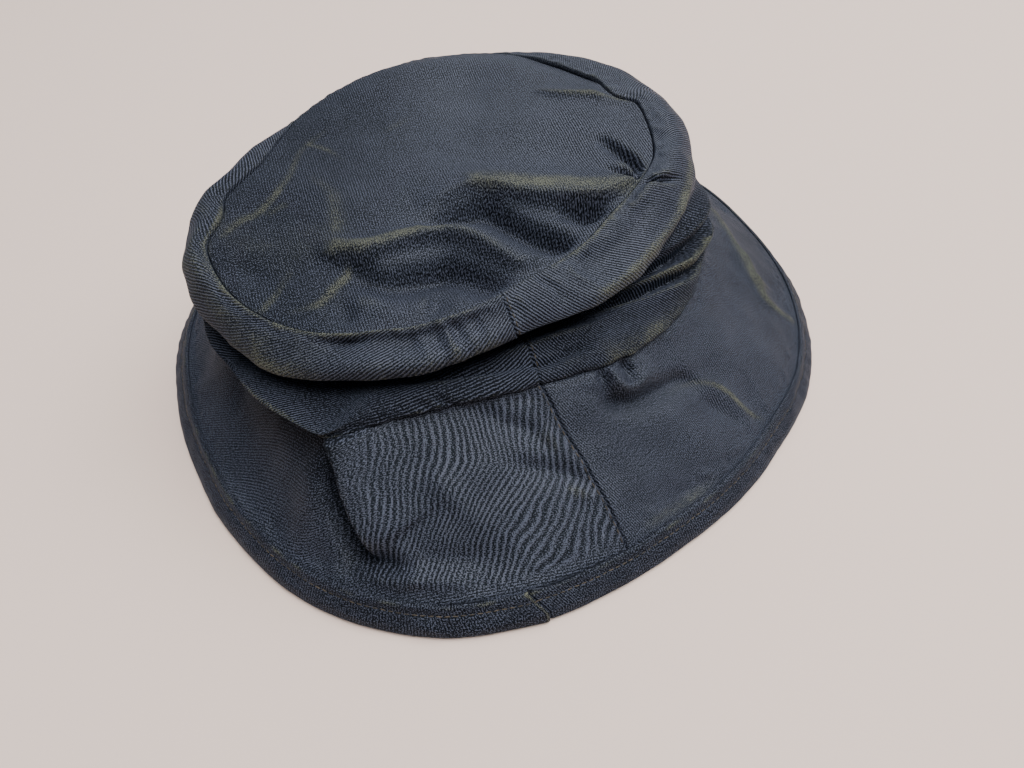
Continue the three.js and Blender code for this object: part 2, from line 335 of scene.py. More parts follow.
# Side band
band = {
    "columns": 640, "dense": [(286, 4, 2.5), (262, 0.5, 14), (328, 0.5, 30)], "seam": 286, "rollAt": 0.45,
    "heel": 1.6, "ribs": -35, "innerRows": 36, "innerSmoothing": 24,
    "stretches": [(-1, 0, 4), (0, 1, 12), (1, 2, 18), (2, 3, 14), (3, 4, 48), (4, 5, 12), (5, 6, 5),
                  (6, 7, 3)],
    "seamRows": [(-1, 279.5), (0, 279.5), (0.4, 279.6), (1.2, 280.7), (1.8, 281.7), (3, 285), (4, 286),
                 (7, 286)],
    "seamWidth": 22, "grooveDeep": 0.8, "grooveWide": 0.45, "seamStep": 0.6, "stepWide": 5,
    "swell": [(0.4, 38, 3, False), (0.12, 14, 4, False), (0.18, 22, 5, True)], "wornShare": 0.6, "grain": 1.5,
    "seamPucker": 0.22, "footPucker": 0.25, "leftShade": 0.6, "leftAt": 205, "leftWide": 38,
}
bandRows = table("at seamR seamZ rimR rimZ tuckR tuckZ lipR lipZ footR footZ", [
    (0, 72, 87, 88, 81, 89, 77, 98, 55, 98, 46),
    (22, 73, 92, 91, 86, 89, 79, 98, 59, 99, 46),
    (45, 68, 95, 88, 89, 86, 80, 96, 60, 98, 45),
    (67, 70, 94.5, 84, 89, 83, 81, 94, 60, 96, 45),
    (90, 74, 91.5, 81, 87, 80, 80, 92, 60, 94, 45),
    (112, 75, 90, 80.5, 86, 79, 79, 90, 59, 92, 44),
    (135, 76, 88, 82, 83, 80, 77, 90, 58, 92, 44),
    (158, 80, 84.5, 87, 80, 85, 73, 91, 56, 93, 43),
    (180, 84, 83, 97, 77, 93, 67, 97, 54, 95, 43),
    (200, 104, 79, 114, 69, 99, 60, 111, 51, 99, 42),
    (218, 109, 73, 118, 61, 98, 54, 119, 49, 101, 41),
    (232, 104, 69, 115, 58, 92, 52, 120, 48, 105, 41),
    (240, 99, 68, 111, 57, 86, 51, 121.5, 47, 112, 41),
    (247, 93, 68, 105, 57, 80, 50, 122, 46, 121, 43.5),
    (251, 89, 68, 102, 57, 76, 50, 112, 49, 114, 44),
    (256, 86, 68, 98, 57, 72, 50, 103, 48.5, 106.5, 44),
    (262, 82, 69, 94, 58, 69, 50, 97, 48.5, 100.5, 44.5),
    (275, 74, 71, 85, 60, 64, 51, 90, 49, 94, 45),
    (290, 66, 73, 80, 61, 62, 52, 87, 49.5, 91, 45),
    (307, 63, 75, 81, 64, 67, 55, 86, 51.5, 93, 45),
    (324, 62, 79, 82, 67, 74, 60, 89, 52, 95, 45),
    (342, 66, 83, 84, 73, 83, 68, 95, 53, 96, 46),
])
bandCurve = {name: ringCurve(bandRows, name) for name in bandRows[0] if name != "at"}

# Finer course of the crown seam: extra radius and height, and how far the roll rises past it
seamRows = table("at outward up roll", [
    (0, 0, 0, 1.5), (12, 0, 0, 1.5), (24, 1, 0, 1.5), (28, -4, 0, 1.2), (33, -3.5, 0, 1), (40, 0, 0, 1),
    (60, 0, 0.5, 0.5), (80, 0, 1.5, -2), (105, 0, 2, -3), (140, 0, 2, -3), (160, 0, 1.2, -2),
    (172, 0, 0.3, 0), (180, 0, 0, 1),
    (194, -2, 0, 1.5), (199.5, -5.5, 0, 1.5), (204, -3, 0, 1.2), (207, 0, 0, 1), (218, -1, 0, 0),
    (232, 0, 0, -2), (245, 0, 0, -3.5), (262, 0, 0, -4), (285, 0, 0, -3.5), (305, 0, 0, -3), (325, 0, 0, -2),
    (340, 0, 0, -0.5), (350, 0, 0, 1),
])
seamCurve = {name: ringCurve(seamRows, name) for name in ("outward", "up", "roll")}

# Folds of the band: width above and below, then points (angle, place down the profile, height).
# Places: 0 crown seam, 1 top of the roll, 2 rim, 3 tuck, 4 lowest fold, 6 foot
bandFolds = [
    stroke(3.5, 3.5, (331, 2.95, 0), (337, 3.1, 3), (343, 3.22, 4.5), (349, 3.32, 4.5), (356, 3.4, 3),
           (4, 3.4, 0), lean=0.4),
    stroke(2.2, 1.1, (313, 3.14, -1), (320, 3.25, -3), (327, 3.35, -4), (333, 3.44, -4.5),
           (339, 3.54, -4.5), (349, 3.72, -4), (0, 3.8, -1)),
    stroke(1, 3.2, (310, 3.2, 0), (318, 3.32, 2), (327, 3.46, 3), (334, 3.57, 3.5), (341, 3.72, 3.5),
           (349, 3.84, 3), (0, 3.9, 0)),
    stroke(2, 1.1, (305, 3.4, -1), (311, 3.47, -3), (318, 3.54, -4.5), (324, 3.62, -4.5),
           (331, 3.74, -4.5), (337, 3.9, -3.5), (345, 4.05, -2), (352, 4.15, 0)),
    stroke(1, 5, (304, 3.5, 0), (312, 3.58, 2), (321, 3.72, 2.5), (331, 3.9, 2.5), (340, 4.1, 2),
           (350, 4.3, 0)),
    stroke(2.5, 2.5, (274, 3.62, 0), (281, 3.62, 1.5), (290, 3.62, 2.5), (299, 3.66, 2.5),
           (307, 3.7, 1.5), (318, 3.8, 0)),
    stroke(2, 2.5, (283, 3.86, -0.5), (287, 3.88, -3), (292, 3.9, -3), (298, 3.9, -2), (303, 3.9, 0)),
    stroke(2.5, 1.5, (257, 3.7, -1), (265, 3.75, -2.5), (273, 3.8, -2.5), (282, 3.82, -1.5)),
    stroke(2, 1.6, (266.3, 0.1, 0), (267, 0.6, -1.2), (268.4, 1.2, -1.2), (270.2, 1.7, -0.8)),
    stroke(1.8, 2.4, (261.8, 0.1, 0), (262.5, 0.6, -1), (264.5, 1.3, -1), (266, 1.8, -0.4)),
    stroke(1.5, 1.5, (265, 0.2, 0), (266, 0.9, 0.7), (267.6, 1.5, 0.6)),
    stroke(1.5, 2.5, (271, 0.2, 0), (272, 0.8, -0.7), (273.5, 1.5, -0.5)),
    stroke(2, 2.5, (257.5, 0.2, 0), (258.5, 0.8, -0.8), (260, 1.4, -0.5)),
    stroke(2.2, 1.8, (242, 0.45, -0.5), (245, 0.55, -2), (248, 0.5, -1.6), (250, 0.4, 0)),
    stroke(5, 2.5, (236, 1.5, 0), (246, 1.6, 1.4), (256, 1.62, 2.2), (264, 1.66, 2.4), (273, 1.66, 1.8),
           (282, 1.66, 1)),
    stroke(3, 4, (238, 0.6, 0), (248, 0.65, -1.2), (262, 0.7, -1.2), (276, 0.7, -0.8), (284, 0.7, 0)),
    stroke(1.8, 1.5, (291, 0.1, 0), (292.5, 0.5, -1), (295, 1.0, -1), (297, 1.5, 0)),
    stroke(1.5, 2, (283, 0.3, 0), (284.5, 0.8, 0.8), (287, 1.5, 0.6)),
    stroke(2, 2, (300, 0.2, 0), (302, 0.8, 0.9), (306, 1.4, 0.6)),
    stroke(1.6, 1.6, (344.2, 0.05, -1), (344.4, 0.4, -3.5), (345, 0.8, -4), (347, 1.15, -3),
           (349.5, 1.45, -0.5)),
    stroke(5, 5, (303, 0.5, -0.5), (312, 0.9, -2.2), (322, 1.05, -2.4), (331, 1.0, -1.5), (338, 0.9, 0)),
    stroke(3, 3, (327, 0.25, 0), (334, 0.4, 1.8), (341, 0.55, 2), (347, 0.9, 1)),
    stroke(2.2, 1.8, (300, 1.62, 0), (308, 1.66, 1), (320, 1.66, 1.4), (336, 1.78, 1.6), (346, 1.85, 1.4),
           (354, 1.8, 0)),
    stroke(1.6, 1.2, (262.5, 3.98, 0), (264, 4.4, -1.5), (266.4, 5.3, -1.5), (267.4, 5.9, -0.5)),
    stroke(1.6, 1.4, (259, 4.0, 0), (260.8, 4.5, -1.2), (263, 5.4, -1), (264, 5.9, 0)),
    stroke(6, 4, (60, 3.45, 2), (90, 3.55, 3), (130, 3.5, 3), (170, 3.4, 1)),
    stroke(4, 3, (20, 3.7, 1), (60, 3.85, 2.5), (110, 3.8, 2), (150, 3.9, 1)),
]
# Places where the band is rubbed olive: widths, then points (angle, place, strength)
bandRubs = [
    stroke(1.4, 1.4, (196, 0, 0.3), (210, 0, 0.4), (230, 0, 0.35), (250, 0, 0.4), (268, 0, 0.2),
           (284, 0, 0)),
    stroke(1.2, 1.2, (300, 0, 0.2), (312, 0, 0.6), (330, 0, 0.5), (340, 0, 0)),
    stroke(2.4, 2.6, (305, 1.7, 0.3), (318, 1.72, 0.7), (336, 1.8, 0.9), (350, 1.75, 0.9), (0, 1.7, 0.4)),
    stroke(7, 7, (200, 1.2, 0.2), (212, 1.3, 0.35), (226, 1.3, 0.35), (240, 1.2, 0.2)),
    stroke(2.5, 2.5, (225, 1.7, 0), (232, 1.75, 0.5), (238, 1.8, 0.5), (244, 1.8, 0)),
    stroke(1.4, 4, (330, 3.52, 0.4), (341, 3.75, 0.8), (349, 3.85, 0.8)),
    stroke(1, 1.2, (228, 3.95, 0.3), (236, 3.95, 0.5), (243, 3.95, 0.5), (248, 4, 0)),
    stroke(5, 5, (305, 4.8, 0.3), (320, 4.8, 0.5), (332, 4.8, 0.3)),
]


# Section through the band at an array of angles: control points of radius and height
def bandControls(angle):
    s = {name: curve(angle) for name, curve in bandCurve.items()}
    seamR = s["seamR"] + seamCurve["outward"](angle)
    seamZ = s["seamZ"] + seamCurve["up"](angle)
    rollR = seamR + (s["rimR"] - seamR) * band["rollAt"]
    pairs = [
        (seamR, seamZ), (rollR, seamZ + seamCurve["roll"](angle)), (s["rimR"], s["rimZ"]),
        (s["tuckR"], s["tuckZ"]), (s["lipR"], s["lipZ"]), (s["footR"], s["footZ"] + band["heel"]),
        (s["footR"], s["footZ"]),
    ]
    return [np.stack(pair, -1) for pair in pairs]


def bandBase(angle, rows):
    profile = np.zeros(angle.shape + (2,))
    for j, place in enumerate(rows):
        controls = bandControls(angle[:, j])
        if place < 0:  # turned down into the crown seam
            profile[:, j] = controls[0] + [-0.7 * math.sin(-place * 1.57), -2.4 * place ** 2]
        elif place > 6:  # turned in under the foot
            profile[:, j] = controls[6] + [-1.2 * (place - 6), -0.5 * math.sin((place - 6) * 2)]
        else:
            profile[:, j] = centripetal(controls, place)
    return profile


# How far each row's columns turn near the seam, so that one column follows its slant
def seamShift(angle, rows, settings):
    at = np.interp(rows, *zip(*settings["seamRows"]))
    near = bell(turnFrom(settings["seam"], angle), settings["seamWidth"])
    return near[:, None] * (at - settings["seam"])[None, :]


# Unrolled place of each grid point in millimetres: round the piece, and down it
def unrolled(profile, angle):
    steps = np.linalg.norm(np.diff(profile, axis=1), axis=-1)
    down = np.concatenate([np.zeros((len(profile), 1)), np.cumsum(steps, 1)], 1)
    radius = profile[..., 0].mean(1)
    turn = np.radians(np.diff(np.append(angle[:, 0], angle[0, 0] + 360)))
    around = np.concatenate([[0], np.cumsum(turn * (radius + np.roll(radius, -1)) / 2)])
    return around, down


# Finished outer grids, kept for the stitches that are sewn along them
sewn = {}


def makeBand():
    rows = rowsOf(band["stretches"])
    plain = stations(band["columns"], band["seam"], band["dense"])
    shift = seamShift(plain, rows, band)
    nearSeam = bell(turnFrom(plain[0], plain), band["seamWidth"])
    angle = plain[:, None] + shift
    profile = bandBase(angle, rows)
    grid = aroundHub(angle, profile)
    around, down = unrolled(profile, angle)
    period = around[-1]
    u = np.repeat(around[:-1, None], len(rows), 1)

    def placeOf(at, place):
        column = int(np.argmin(np.abs(turnFrom(at, plain + np.interp(place, rows, shift[0]) * nearSeam))))
        return around[column], np.interp(place, rows, down[column])

    lift, lean = strokesOver(u, down, bandFolds, placeOf, period)
    fade = smooth(rows / 0.5)[None, :] * smooth((6.2 - rows) / 0.8)[None, :]
    fromSeam = np.mod(u + period / 2, period) - period / 2
    edge = smooth((rows + 1) / 2)[None, :]
    pucker = band["seamPucker"] * bell(rows - 0.25, 0.4)[None, :] * crumple(grid, 6, 6)
    foot = band["footPucker"] * bell(rows - 5.6, 0.5)[None, :] * crumple(grid, 9, 7)
    lifted = (lift + crumples(grid, band["swell"])) * fade + seamWelt(fromSeam, band) * edge + pucker + foot
    normal, across, along = directions(grid)
    grid = grid + normal * lifted[..., None]
    grid = grid + (across * lean[..., :1] + along * lean[..., 1:]) * fade[..., None]
    normal = directions(grid)[0]
    rubs, _ = strokesOver(u, down, bandRubs, placeOf, period)
    worn = np.clip(band["wornShare"] * wearOf(grid, normal) + rubs, 0, 1)
    grain = np.where(fromSeam < 0, -band["grain"], band["grain"])
    # Painted shade: darker below the roll, where its shadow falls on the lower band, easing off near the
    # foot, and darker round the left side, away from the light
    below = (smooth((rows - 2.5) / 0.7) * (1 - 0.45 * smooth((rows - 5.0) / 0.8)))[None, :]
    left = band["leftShade"] * bell(np.mod(plain, 360) - band["leftAt"], band["leftWide"], 4)[:, None]
    paintedShade = np.maximum(below, left)
    across = np.repeat(around[:, None], len(rows), 1)
    clothMap = turnedMap(across, np.concatenate([down, down[:1]]), band["ribs"])
    thin = (1 - 0.65 * bell(rows - 4, 0.4)) * (1 - 0.7 * bell(rows - 4.5, 1.2))  # where the fold is tight
    inner = innerSkin(grid, cloth["wall"] * thin[None, :, None], band["innerRows"], band["innerSmoothing"])
    sewn["band"] = grid
    marks = {"worn": worn, "grain": grain, "stripes": 0.0, "paintedShade": paintedShade}
    return wallPiece("side_band_cloth", grid, inner, clothMap, marks)


# Brim
brim = {
    "columns": 900, "dense": [(286, 8, 1.6), (255, 1.2, 12), (300, 0.6, 20)], "seam": 286,
    "bindingHigh": 10.3, "bindingWide": 6.8, "foldHigh": 2.2, "seamDrop": 0.2, "collar": 1.6,
    "stretches": [(-1, 0, 3), (0, 1, 66), (1, 2, 5)], "innerRows": 24, "ribs": 77,
    "seamRows": [(-1, 286), (0, 286), (0.14, 287.5), (0.24, 288.2), (0.47, 290.5), (0.72, 291.9),
                 (0.93, 292.6), (2, 292.8)],
    "seamWidth": 18, "grooveDeep": 1.0, "grooveWide": 0.6, "seamStep": 0.7, "stepWide": 6,
    "swell": [(0.45, 50, 13, False), (0.12, 18, 14, False), (0.2, 30, 15, True)], "pucker": 0.25,
    "wornShare": 0.2, "grain": 0.6, "mapTurn": 0.85,
}
brimRows = table("at edgeR fall", [
    (0, 156, 1.05), (22, 159, 1.05), (45, 166, 1.05), (67, 166, 1.05), (90, 164, 1.05), (112, 161, 1.05),
    (135, 155, 1.05), (158, 147, 1.1), (180, 140, 1.2), (200, 140, 1.3), (218, 143, 1.4), (232, 149, 1.5),
    (240, 153, 1.5), (247, 157, 1.15), (256, 160, 1.1), (265, 161, 1.05), (275, 158, 1), (290, 152, 1),
    (307, 148, 1), (324, 148, 1), (342, 153, 1),
])
brimCurve = {name: ringCurve(brimRows, name) for name in ("edgeR", "fall")}

# Folds of the brim: widths, then points (angle, share of the way out, height). The plus side is the one of
# higher angles for a line that runs outwards, and the inner one for a line that runs with rising angle
brimFolds = [
    stroke(0.9, 15, (246.3, 0.0, 2), (248.6, 0.12, 5), (251.2, 0.33, 7.5), (253.9, 0.53, 7.5),
           (256.3, 0.68, 6), (257.5, 0.76, 3.5), (258.3, 0.8, 1), (259, 0.83, 0), lean=-0.35),
    stroke(7, 1.2, (244.8, 0.02, -3.5), (247.2, 0.12, -6), (249.8, 0.33, -7), (252.6, 0.53, -7),
           (255, 0.69, -6.5), (256.3, 0.77, -5), (257.2, 0.82, -2), (257.8, 0.84, 0)),
    stroke(3.6, 3.4, (256.4, 0.8, -1), (258, 0.825, -4.5), (259.8, 0.835, -4.5), (261.6, 0.835, -2),
           (263.4, 0.83, 0)),
    stroke(3, 3, (256, 0.86, 0), (260, 0.9, 1.5), (266, 0.9, 1.2), (272, 0.92, 0)),
    stroke(5, 4, (260, 0.72, 0), (265, 0.78, -1.5), (271, 0.8, -2), (278, 0.83, 0)),
    stroke(2.4, 2.4, (303, 0.0, 0), (302.6, 0.1, 2.2), (303.4, 0.19, 2.6), (306, 0.22, 2),
           (309, 0.2, 1.6), (314, 0.17, 0)),
    stroke(2, 2, (301, 0.0, 0), (300.6, 0.06, -2.4), (300, 0.14, -2)),
    stroke(2, 2.4, (306.5, 0.0, 0), (306.8, 0.08, -3.2), (306.6, 0.15, -2)),
    stroke(4.5, 2.6, (298, 0.16, -1), (300.5, 0.23, -4), (306, 0.28, -4.5), (312.5, 0.31, -4),
           (317.5, 0.34, -3), (321, 0.5, 0)),
    stroke(5, 3, (320, 0.38, 0), (321.5, 0.46, 0.9), (323.9, 0.57, 1.3), (324.6, 0.7, 1.3),
           (325.4, 0.84, 1), (327.2, 0.95, 0), sharp=1.5),
    stroke(2.5, 4, (318, 0.5, 0), (320, 0.62, -1.2), (321.5, 0.78, -1)),
    stroke(4, 4, (24, 0.58, 1), (10, 0.42, 2.2), (3, 0.46, 2.5), (358, 0.52, 2), (358, 0.66, 1.5),
           (359, 0.82, 0), sharp=1.4),
    stroke(3, 5, (3, 0.47, 1), (357.5, 0.57, 2), (353.7, 0.68, 2), (353.1, 0.93, 1), sharp=1.4),
    stroke(3.5, 3, (273, 0.08, -0.8), (277, 0.16, -1.8), (281, 0.22, -1.6), (285, 0.32, -0.8)),
    stroke(3.5, 3, (278, 0.36, -0.6), (281, 0.42, -1.8), (287, 0.52, -2), (289.4, 0.6, -0.8)),
    stroke(2.4, 2.4, (283.5, 0.24, 0), (285.4, 0.3, 1.4), (287, 0.38, 0.6)),
    stroke(2.4, 2.4, (286, 0.58, 0), (288, 0.62, 1.2), (290.3, 0.68, 0.6)),
    stroke(4, 4, (263, 0.3, 0), (267, 0.46, 1.2), (271, 0.6, 0.8), (275, 0.7, 0)),
    stroke(7, 7, (205, 0.25, 0), (215, 0.45, -1.5), (226, 0.55, -1.5), (236, 0.6, 0)),
]
# Rubbed places of the brim: widths, then points (angle, share, strength)
brimRubs = [
    stroke(1.2, 1.2, (313, 0.36, 0.2), (320, 0.42, 0.6), (323.9, 0.57, 1), (325.4, 0.84, 0.9),
           (327, 0.95, 0.4)),
    stroke(2.6, 3, (24, 0.58, 0.6), (10, 0.42, 0.9), (358, 0.52, 1), (358, 0.66, 0.7)),
    stroke(2.4, 3, (3, 0.47, 0.5), (357.5, 0.57, 1), (353.7, 0.68, 1), (353.1, 0.93, 0.6)),
    stroke(2.4, 2.4, (284, 0.28, 0.3), (286, 0.36, 0.25)),
    stroke(2.4, 2.4, (287, 0.6, 0.35), (289, 0.66, 0.25)),
    stroke(2, 2, (297, 0.95, 0.3), (305, 0.96, 0.4), (312, 0.96, 0.2)),
]
# Painted shade on the brim: darker, rougher, less waxed cloth in the crease valley, under the band's fold
# edge, in the crevice right of the seam and over the far right brim
brimShade = [
    stroke(7.5, 1.4, (246, 0, 1), (248.2, 0.12, 1), (250.6, 0.33, 1), (253.4, 0.53, 1), (255.8, 0.69, 1),
           (257.4, 0.79, 1), (260, 0.83, 0.8), (263, 0.83, 0)),
    stroke(9, 9, (208, 0.1, 0.3), (222, 0.12, 0.8), (236, 0.14, 1), (246, 0.1, 1)),
    stroke(3, 2.4, (298, 0.18, 0.3), (300.5, 0.22, 0.8), (306, 0.27, 0.7), (312.5, 0.3, 0.2)),
    stroke(26, 26, (30, 0.5, 0.5), (10, 0.55, 0.6), (352, 0.6, 0.4), (340, 0.6, 0)),
]
# The panel left of the seam is drawn into fine stripes: its limits in angle and share
panel = {"from": 248.5, "full": 259, "upTo": 320, "start": 0.02, "end": 0.97}


# The brim's skirt inside the binding: its top corner and its end, in radius and height
def skirtOf(edgeR):
    down = np.array([brim["bindingWide"], brim["foldHigh"] - brim["bindingHigh"]])
    down = down / np.linalg.norm(down)
    out = np.array([-down[1], down[0]])
    crest = np.stack([edgeR - brim["bindingWide"], np.full(edgeR.shape, brim["bindingHigh"])], -1)
    top = crest - out * (cloth["gap"] + binding["cloth"])
    drop = (top[..., 1:] - brim["foldHigh"] - cloth["wall"] / 2) / -down[1]
    return {"down": down, "out": out, "crest": crest, "top": top, "end": top + down * drop}


def brimBase(angle, rows):
    profile = np.zeros(angle.shape + (2,))
    for j, share in enumerate(rows):
        a = angle[:, j]
        skirt = skirtOf(brimCurve["edgeR"](a))
        startR = bandCurve["footR"](a) - cloth["wall"] - cloth["gap"]
        startZ = bandCurve["footZ"](a) - brim["seamDrop"]
        top = skirt["top"]
        if share < 0:
            profile[:, j] = np.stack([startR, startZ - share * (brim["seamDrop"] + brim["collar"])], -1)
        elif share > 1:
            profile[:, j] = top + (skirt["end"] - top) * (share - 1)
        else:
            height = top[:, 1] + (startZ - top[:, 1]) * (1 - share) ** brimCurve["fall"](a)
            profile[:, j] = np.stack([startR + (top[:, 0] - startR) * share, height], -1)
    return profile


def makeBrim():
    rows = rowsOf(brim["stretches"])
    plain = stations(brim["columns"], brim["seam"], brim["dense"])
    angle = plain[:, None] + seamShift(plain, rows, brim)
    profile = brimBase(angle, rows)
    grid = aroundHub(angle, profile)
    u, v = grid[..., 0] - hub[0], grid[..., 1] - hub[1]

    def placeOf(at, share):
        spot = brimBase(np.array([[float(at)]]), [share])[0, 0]
        return spot[0] * math.cos(math.radians(at)), spot[0] * math.sin(math.radians(at))

    lift, lean = strokesOver(u, v, brimFolds, placeOf)
    fade = (smooth(rows / 0.06) * smooth((1 - rows) / 0.1))[None, :]
    around, down = unrolled(profile, angle)
    fromSeam = np.radians(turnFrom(brim["seam"], plain))[:, None] * profile[..., 0]
    pucker = brim["pucker"] * bell(rows - 0.05, 0.06)[None, :] * crumple(grid, 7, 16)
    pucker = pucker + brim["pucker"] * bell(rows - 0.93, 0.05)[None, :] * crumple(grid, 6, 17)
    normal = directions(grid)[0]
    lifted = (lift + crumples(grid, brim["swell"]) + pucker) * fade
    lifted = lifted + seamWelt(fromSeam, brim) * smooth((rows + 0.2) / 0.2)[None, :]
    grid = grid + normal * lifted[..., None]
    grid[..., :2] += lean * fade[..., None]
    normal = directions(grid)[0]
    rubs, _ = strokesOver(u, v, brimRubs, placeOf)
    worn = np.clip(brim["wornShare"] * wearOf(grid, normal) + rubs, 0, 1)
    bent = np.mod(angle, 360)
    stripes = smooth((bent - panel["from"]) / (panel["full"] - panel["from"]))
    stripes = stripes * (bent < panel["upTo"]) * (fromSeam < 0)
    ends = smooth((rows - panel["start"]) / 0.04) * smooth((panel["end"] - rows) / 0.05)
    stripes = stripes * ends[None, :]
    turn = brim["mapTurn"] * np.radians(plain[0] + 360 - np.append(plain, plain[0] + 360))[:, None]
    reach = np.concatenate([down, down[:1]]) + profile[:, 0, 0].mean() / brim["mapTurn"]
    clothMap = turnedMap(reach * np.sin(turn), reach * np.cos(turn), brim["ribs"])
    inner = innerSkin(grid, cloth["wall"], brim["innerRows"], cloth["innerSmoothing"])
    sewn["brim"] = grid
    # Painted shade of the brim, from the strokes above
    paintedShade = np.clip(strokesOver(u, v, brimShade, placeOf)[0], 0, 1)
    marks = {"worn": worn, "grain": brim["grain"] * (1 - stripes), "stripes": stripes, "paintedShade": paintedShade}
    return wallPiece("brim_cloth", grid, inner, clothMap, marks)


# Binding folded over the brim's edge
binding = {
    "columns": 900, "dense": [(278, 8, 1.6)], "lap": 278, "lapTurn": 2.3, "cloth": 1.1, "turnHigh": 1.5,
    "restIn": 0.9, "restWide": 3, "underShort": 2.5, "topWide": 11.5, "topRows": (2, 18),
    "stitchIn": 2.6, "stitchDeep": 0.35, "puff": 0.3, "grain": 0.5,
    "grooveDeep": 0.6, "grooveWide": 0.5, "seamStep": 0.9, "stepWide": 6,
    "ripple": [(0.12, 8, 21, False), (0.15, 34, 22, False)],
}


# Closed section of the binding as control points, with how many steps each side of it takes
def bindingSection(angle):
    edgeR = brimCurve["edgeR"](angle)
    s = skirtOf(edgeR)
    wall, gap = binding["cloth"], cloth["gap"]

    def off(point, away, on=0):
        return point + s["out"] * away + s["down"] * on

    def at(radius, height):
        return np.stack([radius, np.full(angle.shape, float(height))], -1)

    under = -cloth["wall"] - gap
    short = binding["underShort"]
    return [
        (off(s["crest"], -0.9), 2), (s["crest"] + s["down"] * 1.3, 16), (off(s["end"], gap + wall), 5),
        (at(edgeR, binding["turnHigh"]), 4), (at(edgeR - binding["restIn"], 0), 2),
        (at(edgeR - binding["restIn"] - binding["restWide"], 0), 3), (off(s["end"], under - wall), 3),
        (off(s["top"], under - wall, short), 1), (off(s["top"], under, short), 3),
        (off(s["end"], under, gap), 2), (off(s["end"], gap, gap), 4), (off(s["top"], gap), 2),
    ]


# Outward directions over a grid that is closed both ways, not yet of unit length
def outOfRing(grid):
    down = np.roll(grid, -1, 1) - np.roll(grid, 1, 1)
    across = np.roll(grid, -1, 0) - np.roll(grid, 1, 0)
    return np.cross(down, across)


def makeBinding():
    plain = stations(binding["columns"], binding["lap"], binding["dense"])
    sides = bindingSection(plain)
    points, kind = [], []
    for i, (start, steps) in enumerate(sides):
        end = sides[(i + 1) % len(sides)][0]
        for step in range(steps):
            points.append(start + (end - start) * step / steps)
            kind.append(i + step / steps)
    profile = np.stack(points, 1)
    kind = np.array(kind)
    share = np.clip(kind - 1, 0, 1)
    away = turnFrom(binding["lap"], plain)
    turned = binding["lapTurn"] * np.where(kind < 3, share, 1)
    angle = plain[:, None] + bell(away, 12)[:, None] * turned[None, :]
    grid = aroundHub(angle, profile)
    fromLap = np.radians(away)[:, None] * profile[..., 0]
    topSide = np.where(kind < 3.2, 1.0, 0)[None, :]
    slope = np.linalg.norm(profile - profile[:, 2:3], axis=-1)
    stitched = -binding["stitchDeep"] * bell(slope - binding["stitchIn"], 0.7)
    puff = binding["puff"] * bell(slope - 7.5, 3)
    calm = smooth(slope / 2) * smooth((binding["topWide"] - slope) / 4)
    ripple = crumples(grid, binding["ripple"]) * calm
    lift = topSide * (seamWelt(fromLap, binding) + stitched + puff + ripple)
    normal = outOfRing(grid)
    normal /= np.maximum(np.linalg.norm(normal, axis=-1, keepdims=True), 1e-9)
    grid = grid + normal * lift[..., None]
    n, rows = grid.shape[:2]
    k, j = np.meshgrid(np.arange(n), np.arange(rows), indexing="ij")
    k2, j2 = (k + 1) % n, (j + 1) % rows
    quads = np.stack([k * rows + j, k * rows + j2, k2 * rows + j2, k2 * rows + j], -1).reshape(-1, 4)
    around, depth = unrolled(profile, angle)
    depth = np.concatenate([depth, depth[:, -1:] + 1], 1)
    corners = ((0, 0), (0, 1), (1, 1), (1, 0))
    spots = np.stack([np.stack([around[k + a], depth[k, j + b]], -1) for a, b in corners], -2)
    edge = (0.35 + 0.25 * crumple(grid, 12, 23)) * bell(slope, 0.8)
    edge = edge + 0.3 * bell(slope - binding["topWide"], 1.4)
    lapEdge = 0.9 * bell(fromLap + 0.9, 0.6)
    worn = np.clip((edge + lapEdge) * topSide, 0, 1)
    sewn["binding"] = grid
    sewn["bindingSlope"] = slope
    count = n * rows
    marks = {"worn": worn.ravel(), "grain": np.full(count, binding["grain"]), "stripes": np.zeros(count)}
    points = grid.reshape(-1, 3) * millimetre
    return meshPiece("binding_cloth", points, quads, spots.reshape(-1, 4, 2), marks)


# Crown tip
tip = {
    "columns": 480, "rows": 112, "innerRows": 28, "turned": 5, "rise": 1, "inset": 1.3, "level": 0.9,
    "ribs": 20, "grain": 0.6, "grainRight": 0.3, "shadeLeft": 0.75, "shadeAll": 0.15,
    "domeAt": 120, "domeWide": 46, "domeHigh": 3.2, "gaps": [(56, 17, 1.1), (268, 14, 1.0)],
    "swell": [(0.35, 44, 31, False), (0.08, 18, 32, False), (0.16, 28, 33, True)], "wornShare": 0.4,
    "starAt": 346, "innerSmoothing": 4,
}
